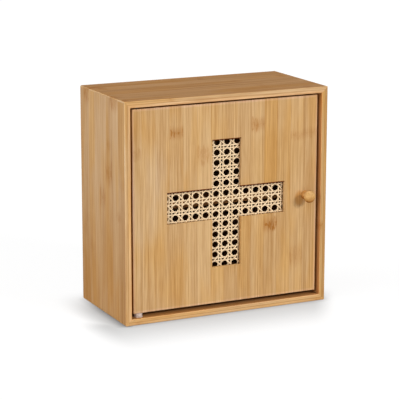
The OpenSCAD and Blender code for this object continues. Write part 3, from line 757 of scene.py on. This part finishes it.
# %% [markdown]
# The door is the face of the cabinet, so all its knuckles are listed one by one, and its edges get a
# painted highlight that is paler and reaches further in than that of the case. The knob is turned
# from a thick blank: its grain runs from front to back, and painted shade makes it darker below and
# at its neck. The battens lie behind the door and need only plain strips. The door could be dressed
# face by face, but one material that reads the place of a point keeps strips and edges together.

# %% Dress the door
DOOR_MARKS = [
    (-0.0738, 0.2519, 0.010, 0.0075, 0.80),
    (0.0462, 0.2546, 0.0115, 0.0085, 0.68),
    (0.1062, 0.2340, 0.011, 0.006, 0.38),
    (0.1262, 0.2370, 0.011, 0.006, 0.38),
    (0.0662, 0.1150, 0.011, 0.0085, 0.90),
    (-0.0338, 0.2186, 0.010, 0.012, 0.38),
    (-0.1338, 0.2281, 0.010, 0.007, 0.34),
    (0.1062, 0.0680, 0.010, 0.013, 0.42),
]
DOOR_FADE = (0.03, 0.20, (0.94, 0.95, 0.95), (0.99, 1.0, 1.0), None)
# the door's painted edge highlight, how far it reaches and its tint, and the painted shade of its
# narrow faces
DOOR_EDGE, DOOR_EDGE_HIGHLIGHT, DOOR_RIM_SHADE = 0.0042, (1.15, 1.18, 1.45), (0.76, 0.52, 0.32)
KNOB_PALE, KNOB_DEEP = (0.70, 0.44, 0.19), (0.50, 0.275, 0.095)
# painted shade on the knob's underside and at its neck
KNOB_UNDERSIDE_SHADE = (0.1530, 0.1440, (0.56, 0.40, 0.24))
KNOB_NECK_SHADE = (-0.0765, -0.0715, (1.0, 1.0, 1.0), (0.78, 0.61, 0.43), None)
BATTEN = {"spread": 0.3, "knuckles": 0.3, "ply": 0.004}

door_finish = bamboo_board(
    "bamboo_of_door", UPRIGHT_FRONT, 5, border=-0.0038, shift=-0.001, streaks=0.60, knuckles=0.0,
    marks=DOOR_MARKS, fade=DOOR_FADE, edges_of="door_panel", reach=DOOR_EDGE,
    highlight_tint=DOOR_EDGE_HIGHLIGHT, rim_shade=DOOR_RIM_SHADE)
dress(door_finish, "door_panel")
dress(bamboo_board("bamboo_of_level_battens", LEVEL_FRONT, 37, **BATTEN),
      "batten_top", "batten_bottom")
dress(bamboo_board("bamboo_of_upright_battens", UPRIGHT_FRONT, 41, **BATTEN),
      "batten_left", "batten_right")
dress(bamboo_board("bamboo_of_knob", TURNED, 43, border=0.010, pale=KNOB_PALE, deep=KNOB_DEEP,
                   spread=0.2, knuckles=0.0, ply=0.020, fade=KNOB_NECK_SHADE, inner=KNOB_UNDERSIDE_SHADE), "knob")

# %% [markdown]
# A few more things are painted on the door. The shadow under the upper edges of the window is
# painted as a dark brown line on their bevels. The soft shadow of the knob, down and to its left, is
# painted darker and warmer. And the front is paler and less orange near the pivots, and more orange
# above the knob. They could be painted on an image, but bands and soft ovals, worked out from places
# on the door, show no pixels however near one looks.

# %% Paint shadow lines on the upper bevels and tint the door in patches
WINDOW_HALF_WIDTH, WINDOW_HALF_HEIGHT, ARM_HALF = 0.0870, 0.0865, 0.0210
WINDOW_ARMS = ((WINDOW_HALF_WIDTH, ARM_HALF), (ARM_HALF, WINDOW_HALF_HEIGHT))
# a painted shadow under the upper edges of the window, as a dark brown line on their bevels
SHADOW_LINE_SPAN = (-0.0002, 0.0012)  # from where to where round the edge it reaches, in metres
SHADOW_LINE_SOFT, SHADOW_LINE_END = 0.0003, 0.0008
SHADOW_LINE_TINT = (0.24, 0.09, 0.03)
KNOB_SHADOW_OFFSET = (-0.0085, -0.0040)
KNOB_SHADOW_TINT = (0.84, 0.66, 0.42)
OVAL_ENDS = (0.2, 1.0)  # where an oval fades out, in squared radii

door_low, door_high = (np.array(corner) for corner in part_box("door_panel"))
door_middle = (door_low + door_high)[[0, 2]] / 2
knob_low, knob_high = (np.array(corner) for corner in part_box("knob"))
knob_middle = (knob_low + knob_high)[[0, 2]] / 2
PATCHES = [  # middle and radii, across and upwards, strength and tint
    # the painted shadow of the knob, down and to its left
    (knob_middle + KNOB_SHADOW_OFFSET, (0.0085, 0.0130), 0.95, KNOB_SHADOW_TINT),
    # paler and less orange towards the pivots, and more orange above the knob
    ((-0.1320, 0.1760), (0.0560, 0.0900), 0.90, (1.02, 1.13, 1.44)),
    ((0.0720, 0.2020), (0.0500, 0.0560), 0.90, (0.94, 0.89, 0.78)),
]


def oval(tree, axes, middle, radii, strength):
    """A soft oval on the front, round a middle given as (across, upwards), with those radii. It
    fades with the square of the distance, measured in radii."""
    sides = [calc(tree, "DIVIDE", calc(tree, "SUBTRACT", axes[axis], float(at)), radius)
             for axis, at, radius in zip("XZ", middle, radii)]
    squared = calc(tree, "ADD", *(calc(tree, "MULTIPLY", side, side) for side in sides))
    return ramp(tree, squared, *OVAL_ENDS, strength, 0.0)


def painted_shadow_lines(tree, axes):
    """A painted shadow: 1 along the upper edge of both arms of the window. Each line is a smooth
    band round the height of the edge, cut off at the ends of the arm."""
    aside = calc(tree, "SUBTRACT", axes["X"], float(door_middle[0]))
    aside = calc(tree, "ABSOLUTE", aside)
    lines = []
    for half_width, half_height in WINDOW_ARMS:
        low, high = (float(door_middle[1]) + half_height + reach for reach in SHADOW_LINE_SPAN)
        lines.append(product(
            tree, ramp(tree, axes["Z"], low - SHADOW_LINE_SOFT, low),
            ramp(tree, axes["Z"], high, high + SHADOW_LINE_SOFT, 1.0, 0.0),
            ramp(tree, aside, half_width, half_width + SHADOW_LINE_END, 1.0, 0.0)))
    return calc(tree, "MAXIMUM", *lines)


tree = door_finish.node_tree
shader = tree.nodes["Principled BSDF"]
colour = shader.inputs["Base Color"].links[0].from_socket
axes = parts(tree, object_place(tree))
# the painted shadow under the upper window edges, then the painted shadow of the knob and two
# patches of tone
colour = tinted(tree, painted_shadow_lines(tree, axes), colour, SHADOW_LINE_TINT)
for middle, radii, strength, tint in PATCHES:
    colour = tinted(tree, oval(tree, axes, middle, radii, strength), colour, tint)
feed(tree, shader, {"Base Color": colour})
print("painted shadow lines and", len(PATCHES), "patches added")

# %% [markdown]
# Screws, brads, shelf pins, pole plates and the strike plate are zinc-plated steel: bright, a
# little blue, and dulled by fine pits. The two pivot pins are blued instead. The bushes and the
# spacer are moulded nylon, the catch is moulded plastic, and its magnet is dull ferrite. With one
# plain colour each they would look printed. None of them has a grain that runs one way, so noise in
# object coordinates is enough.

# %% Give the fittings their metal and plastic
PIT_RELIEF = 0.00001
METAL_CLOUDS, METAL_PITS = (400.0,) * 3, (3000.0,) * 3  # how many blobs fit in a metre
PLASTIC_CLOUDS, PLASTIC_SKIN = (150.0,) * 3, (4000.0,) * 3
METAL_ROUGHNESS = (0.25, 0.22)  # how much the clouds add to it, and what it is without them
SKIN_ROUGHNESS = 0.12  # how much the skin of plastic adds to it


def steel(name, colour, shade):
    """Plated or blued steel: cloudy patches in colour and gloss, under fine pits."""
    material, tree, shader = new_material(name, colour)
    place = object_place(tree)
    clouds = stretched_noise(tree, place, METAL_CLOUDS, 3.0)
    pits = stretched_noise(tree, place, METAL_PITS)
    feed(tree, shader, {
        "Base Color": mix_colour(tree, clouds, colour, shade), "Metallic": 1.0,
        "Roughness": calc(tree, "MULTIPLY_ADD", clouds, *METAL_ROUGHNESS)})
    relief(tree, shader, pits, PIT_RELIEF)
    return material


def moulded(name, colour, shade, roughness):
    """Moulded plastic or pressed ferrite: nearly one colour, with a fine satin skin."""
    material, tree, shader = new_material(name, colour)
    place = object_place(tree)
    clouds = stretched_noise(tree, place, PLASTIC_CLOUDS)
    skin = stretched_noise(tree, place, PLASTIC_SKIN, 1.0)
    feed(tree, shader, {
        "Base Color": mix_colour(tree, clouds, colour, shade),
        "Roughness": calc(tree, "MULTIPLY_ADD", skin, SKIN_ROUGHNESS, roughness)})
    relief(tree, shader, skin, PIT_RELIEF)
    return material


dress(steel("zinc_plated_steel", (0.68, 0.69, 0.71), (0.52, 0.53, 0.56)),
      "back_brads", "rail_screws", "shelf_pins", "catch_poles", "catch_screws", "batten_brads",
      "knob_screw", "strike_plate", "strike_screw")
dress(steel("blued_steel", (0.10, 0.09, 0.09), (0.05, 0.045, 0.045)),
      "upper_pivot_pin", "lower_pivot_pin")
dress(moulded("nylon", (0.62, 0.50, 0.43), (0.54, 0.43, 0.37), 0.40),
      "upper_bush", "lower_bush", "lower_spacer")
dress(moulded("catch_plastic", (0.72, 0.69, 0.63), (0.66, 0.63, 0.58), 0.45), "catch_housing")
dress(moulded("ferrite", (0.045, 0.042, 0.040), (0.03, 0.028, 0.027), 0.6), "catch_magnet")

# %% [markdown]
# The webbing is woven from split cane: pairs of upright and level strands, and single slanting
# strands both ways, which cut off the corners of the square gaps and leave the well-known
# eight-sided holes. A flat picture of the weave would look painted on, so every strand is a surface
# of its own: a section carried along a line, whose height follows the weave. The weave repeats on a
# lattice. Its coordinates a and b count holes to the right and upwards, so that every hole has its
# middle where both are whole numbers.

# %% Lay out the weave
HOLE_PITCH = (0.01485, 0.01396)  # from one hole to the next, across and upwards, in metres
LEAN = math.radians(1.1)  # how far the columns of holes lean to the right
MIDDLE_SHIFT = (0.0010, -0.0008)  # of the middle hole from the middle of the door
PAIR = 0.1430  # distance of a strand from the middle of its pair, in holes
STRAND_WIDTH = 0.00218
WEAVE_DEPTH = 0.0017  # from the highest strand's front to the lowest one's back
STRAND_DEPTH = WEAVE_DEPTH / 4

sheet_low, sheet_high = (np.array(corner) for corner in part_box("cane_webbing"))
middle_hole = door_middle + MIDDLE_SHIFT
lattice = np.array([[HOLE_PITCH[0], HOLE_PITCH[1] * math.tan(LEAN)], [0.0, HOLE_PITCH[1]]])
to_lattice = np.linalg.inv(lattice)
print("webbing:", sheet_low, sheet_high, "middle hole:", middle_hole)


def climb(distance):
    """Height, from -1 to 1, of a strand of a pair at a distance in holes from the middle of the
    pair that it crosses. Across the pair it swings from one side to the other as a sine, and over
    the gap it comes back along a cosine, so that it is level at each strand that it crosses."""
    size = np.abs(distance)
    across = -np.sin(np.pi * distance / (2 * PAIR))
    back = -np.sign(distance) * np.cos(np.pi * (size - PAIR) / (1 - 2 * PAIR))
    return np.where(size < PAIR, across, back)


def weave_height(kind, side, a, b):
    """Height of a strand at lattice place a, b, from -1 at the back to 1 at the front. Uprights and
    levels alternate over and under like plain cloth, at a third of the full height, and the two
    strands of a pair do the opposite. Slanting strands of one kind pass over all uprights and under
    all levels, and those of the other kind do the reverse."""
    if kind == "upright":
        return climb(b - np.floor(b) - 0.5) * side / 3
    if kind == "level":
        return -climb(a - np.floor(a) - 0.5) * side / 3
    wave = np.cos(2 * np.pi * a)
    return -wave if kind == "falling" else wave


# %% [markdown]
# A strand of split cane is flat below and rounded above. It could be made as a curve with a bevel,
# but then its ends would be cut square to its own line. Here the line is cut to the sheet
# separately for each point of the section, so that slanting strands end flush with the edge of the
# sheet. Under the battens the webbing is pressed as thin as the sheet in the CAD model, and inside
# the window it stands free.

# %% Shape one strand
SECTION = np.array([(-0.5, 0.15), (-0.28, 0.85), (0.0, 1.0), (0.28, 0.85), (0.5, 0.15), (0.0, 0.0)])
STEPS_A_HOLE, HOLE_LENGTH = 14, 0.0142  # rows of points for that length of a strand, in metres
PRESSED_DEPTH = float(sheet_high[1] - sheet_low[1])
PRESSED_BAND, FREE_BAND = 0.0101, 0.0125  # how far from the sheet's edge it is pressed, and free
WEAVE_SWING = 1.5  # how far a strand moves out and back from the middle, in its own depths
LEAST_HEADING = 1e-9


def cut_to_sheet(start, heading):
    """Where lines through the points start, along heading, enter and leave the sheet's rectangle,
    as distances: the larger of the two near crossings and the smaller of the two far ones. A level
    or upright heading is turned by a hair, so that nothing is divided by zero."""
    heading = np.where(np.abs(heading) < LEAST_HEADING, LEAST_HEADING, heading)
    first = (sheet_low[[0, 2]] - start) / heading
    second = (sheet_high[[0, 2]] - start) / heading
    return np.minimum(first, second).max(axis=1), np.maximum(first, second).min(axis=1)


def strand(kind, side, anchor, heading):
    """One strand: the section, drawn across the heading, carried along it. Its height is the
    weave's height, and the whole thickness is squeezed near the edge of the sheet. Returns its
    points, as rows along the strand, and how far along each lies, or None where the line misses the
    sheet."""
    heading = heading / np.linalg.norm(heading)
    aside = np.array([heading[1], -heading[0]])
    starts = anchor + SECTION[:, :1] * STRAND_WIDTH * aside
    near, far = cut_to_sheet(starts, heading)
    length = float((far - near).min())
    if length < 2 * STRAND_WIDTH:
        return None
    steps = max(4, int(round(length / HOLE_LENGTH * STEPS_A_HOLE)))
    share = np.linspace(0.0, 1.0, steps + 1)[:, None]
    along = near + (far - near) * share
    flat = starts[None] + along[..., None] * heading
    a, b = ((flat.mean(axis=1) - middle_hole) @ to_lattice.T).T
    height = weave_height(kind, side, a, b)[:, None] * WEAVE_SWING * STRAND_DEPTH
    height = height + (SECTION[:, 1] - 0.5) * STRAND_DEPTH
    margin = np.minimum(flat - sheet_low[[0, 2]], sheet_high[[0, 2]] - flat).min(axis=2)
    free = np.clip((margin - PRESSED_BAND) / (FREE_BAND - PRESSED_BAND), 0.0, 1.0)
    free = free * free * (3 - 2 * free)
    thick = PRESSED_DEPTH + (WEAVE_DEPTH - PRESSED_DEPTH) * free
    y = sheet_low[1] + thick / 2 - height * thick / WEAVE_DEPTH
    return np.stack([flat[..., 0], y, flat[..., 1]], axis=2), along - near


print("pressed depth under the battens:", round(PRESSED_DEPTH * 1000, 2), "mm")

# %% [markdown]
# The points of a strand are still to be joined into faces. Blender could skin a curve by itself,
# but the faint lines of the cane need a UV map that follows the strand. As the points lie in rows,
# faces and UV places can be counted out together.

# %% Join the points of a strand
V_STEP = 2.0  # how far apart two strands lie in the UV map


def strand_faces(along, first, number):
    """Faces of a strand whose points are numbered from first on, row by row, and the UV place of
    each of their corners. Four-sided faces run all round between two rows, and a fan of triangles
    closes each end. A triangle is written as a four-sided face that names its last corner twice.
    The UV map runs along the strand in metres and round the section from 0 to 1, moved on by
    V_STEP for each strand, so that no two look alike."""
    rows, ring = along.shape
    index = first + np.arange(rows * ring).reshape(rows, ring)
    turn = np.roll(index, -1, axis=1)
    quads = np.stack([index[:-1], index[1:], turn[1:], turn[:-1]], axis=2).reshape(-1, 4)
    low_u, high_u = along[:-1], along[1:]
    around = np.arange(ring + 1) / ring
    low_v, high_v = (np.broadcast_to(part, low_u.shape) for part in (around[:-1], around[1:]))
    uv = np.stack([np.stack([low_u, low_v], 2), np.stack([high_u, low_v], 2),
                   np.stack([np.roll(high_u, -1, 1), high_v], 2),
                   np.stack([np.roll(low_u, -1, 1), high_v], 2)], axis=2).reshape(-1, 4, 2)
    uv[..., 1] += V_STEP * number
    faces, uvs = [quads], [uv]
    for end in (index[0], index[-1][::-1]):
        last = np.full(ring - 2, end[-1])
        faces.append(np.stack([end[:-2], end[1:-1], last, last], axis=1))
        uvs.append(np.full((ring - 2, 4, 2), (0.0, V_STEP * number + 0.5)))
    return np.concatenate(faces), np.concatenate(uvs)


print("points round a strand:", len(SECTION))

# %% [markdown]
# The sheet holds about a hundred strands. As objects of their own they would crowd the file, and as
# one mesh they would pass 200,000 triangles, so they are gathered into three: the uprights, the
# levels and the slants. All faces of a mesh are handed over at once with foreach_set, which is far
# quicker than adding them one by one.

# %% Weave the strands
HOLES_OUT = 17  # how many holes out from the middle strands are tried
HEADINGS = {  # which way each kind runs, in lattice coordinates
    "upright": (0.0, 1.0), "level": (1.0, 0.0), "falling": (-1.0, 1.0), "rising": (1.0, 1.0)}


def strand_starts(kind):
    """Where the strands of a kind start, in lattice coordinates, and their sides: two strands a
    hole in the pairs, and one a hole where they slant."""
    for hole in range(-HOLES_OUT, HOLES_OUT):
        for side in (-1, 1) if kind in ("upright", "level") else (0,):
            start = hole + 0.5 + side * PAIR
            yield (0.0, start) if kind == "level" else (start, 0.0), side


def woven_piece(name, kinds):
    """A mesh of all strands of these kinds. Only as many corners of each face are kept as it has:
    three where the last is named twice, and else four."""
    points, faces, uvs = [], [], []
    number, count = 0, 0
    for kind in kinds:
        for start, side in strand_starts(kind):
            number += 1
            made = strand(kind, side, middle_hole + lattice @ start, lattice @ HEADINGS[kind])
            if made is None:
                continue
            grid, along = made
            corners, spots = strand_faces(along, count, number)
            points.append(grid.reshape(-1, 3))
            faces.append(corners)
            uvs.append(spots)
            count += along.size
    corners, spots = np.concatenate(faces), np.concatenate(uvs)
    size = np.where(corners[:, 2] == corners[:, 3], 3, 4)
    keep = np.arange(4)[None] < size[:, None]
    mesh = bpy.data.meshes.new(name)
    mesh.vertices.add(count)
    mesh.vertices.foreach_set("co", np.concatenate(points).astype(np.float32).ravel())
    mesh.loops.add(int(size.sum()))
    mesh.loops.foreach_set("vertex_index", corners[keep].astype(np.int32))
    mesh.polygons.add(len(corners))
    mesh.polygons.foreach_set("loop_start", (np.cumsum(size) - size).astype(np.int32))
    mesh.update(calc_edges=True)
    mesh.uv_layers.new(name="strand").data.foreach_set("uv", spots[keep].astype(np.float32).ravel())
    mesh.polygons.foreach_set("use_smooth", np.ones(len(corners), bool))
    mesh.validate()
    mesh.update()
    piece = bpy.data.objects.new(name, mesh)
    bpy.context.scene.collection.objects.link(piece)
    print(name, "strands:", len(points), "triangles:", int((size - 2).sum()))
    return piece


pieces = [woven_piece("cane_uprights", ["upright"]), woven_piece("cane_levels", ["level"]),
          woven_piece("cane_slants", ["falling", "rising"])]

# %% [markdown]
# Where strands cross, shade gathers, and ambient occlusion finds those crevices; their shade is
# painted darker into the colour of the cane. It would also take the walls of the window for crevices
# and draw a dark line beside the sill and the left side, where the light comes in. The crevices
# could be made fainter everywhere, but then the weave would look flat, so they are held back beside
# those two walls alone.

# %% Find the cane beside the lit walls
LIT_EDGE = (0.0015, 0.0045)  # from a lit wall to where crevices count in full, in metres
OTHER_EDGE = 0.0010  # how far they count past an unlit wall


def away_from_lit_walls(tree):
    """1 on the cane in the window, and 0 beside its lower and left walls. Each arm of the cross
    gives a box of its own, and the larger value of the two counts."""
    axes = parts(tree, object_place(tree))
    arms = []
    for half_sizes in WINDOW_ARMS:
        steps = []
        for axis, middle, half in zip("XZ", door_middle, half_sizes):
            away = calc(tree, "SUBTRACT", axes[axis], float(middle))
            steps.append(ramp(tree, away, LIT_EDGE[0] - half, LIT_EDGE[1] - half))
            steps.append(ramp(tree, away, half, half + OTHER_EDGE, 1.0, 0.0))
        arms.append(product(tree, *steps))
    return calc(tree, "MAXIMUM", *arms)


print("crevices count in full from", LIT_EDGE[1], "metres off a lit wall")

# %% [markdown]
# Split cane has a satin skin with faint lines along it, and no two strands have quite the same
# tone. Object coordinates would let the lines run straight through all strands, so this finish
# reads the strand's UV map instead.

# %% Give the cane its finish
CANE_PALE, CANE_DEEP = (0.95, 0.745, 0.485), (0.75, 0.52, 0.28)
CANE_LINE_TINT = (0.62, 0.46, 0.32)
CREVICE_SHADE_TINT = (0.36, 0.21, 0.10)
CREVICE_REACH = 0.005  # how far round a point crevices are looked for, in metres
LIT_SHARE = 0.15  # how much crevices count beside a lit wall
CREVICES_FROM = (0.30, 0.85)  # openness of a full crevice and of none
CANE_DRIFT, CANE_LINES = (40.0, 0.7, 1.0), (60.0, 14.0, 1.0)  # blobs in a metre, and in a turn
STRAND_SHARE, DRIFT_SHARE = 0.45, 0.55  # how much a strand's own tone counts, and the drift
LINES_FROM = (0.45, 0.8, 0.0, 0.35)  # two values of the noise, and how dark a line is there
CANE_ROUGHNESS = (0.2, 0.32)  # how much the lines add to it, and what it is without them
CANE_RELIEF = 0.00004


def split_cane():
    """Split cane: each strand draws its tone by its number, which is V over V_STEP, rounded down; a
    slow drift and faint lines run along it; and painted shade makes its crevices darker."""
    material, tree, shader = new_material("split_cane", (0.78, 0.60, 0.40))
    uv = add_node(tree, "ShaderNodeUVMap", uv_map="strand").outputs[0]
    number = calc(tree, "FLOOR", calc(tree, "DIVIDE", parts(tree, uv)["Y"], V_STEP))
    draw = add_node(tree, "ShaderNodeTexWhiteNoise", {"W": number}, noise_dimensions="1D")
    drift = stretched_noise(tree, uv, CANE_DRIFT)
    lines = stretched_noise(tree, uv, CANE_LINES, 2.0, 0.6)
    tone = calc(tree, "ADD", calc(tree, "MULTIPLY", draw.outputs["Value"], STRAND_SHARE),
                calc(tree, "MULTIPLY", drift, DRIFT_SHARE))
    colour = mix_colour(tree, tone, CANE_PALE, CANE_DEEP)
    colour = tinted(tree, ramp(tree, lines, *LINES_FROM), colour, CANE_LINE_TINT)
    reach = {"Distance": CREVICE_REACH}
    openness = add_node(tree, "ShaderNodeAmbientOcclusion", reach, samples=8).outputs["AO"]
    crevice = ramp(tree, openness, *CREVICES_FROM, 1.0, 0.0)
    counts = calc(tree, "MULTIPLY_ADD", away_from_lit_walls(tree), 1.0 - LIT_SHARE, LIT_SHARE)
    # painted shade in the crevices, held back beside the lit walls
    colour = tinted(tree, calc(tree, "MULTIPLY", crevice, counts), colour, CREVICE_SHADE_TINT)
    roughness = calc(tree, "MULTIPLY_ADD", lines, *CANE_ROUGHNESS)
    feed(tree, shader, {"Base Color": colour, "Roughness": roughness})
    relief(tree, shader, lines, CANE_RELIEF)
    return material


cane_finish = split_cane()
for piece in pieces:
    piece.data.materials.append(cane_finish)
    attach(piece, "door")
    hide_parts("cane_webbing")
print("cane finish:", len(cane_finish.node_tree.nodes), "nodes")
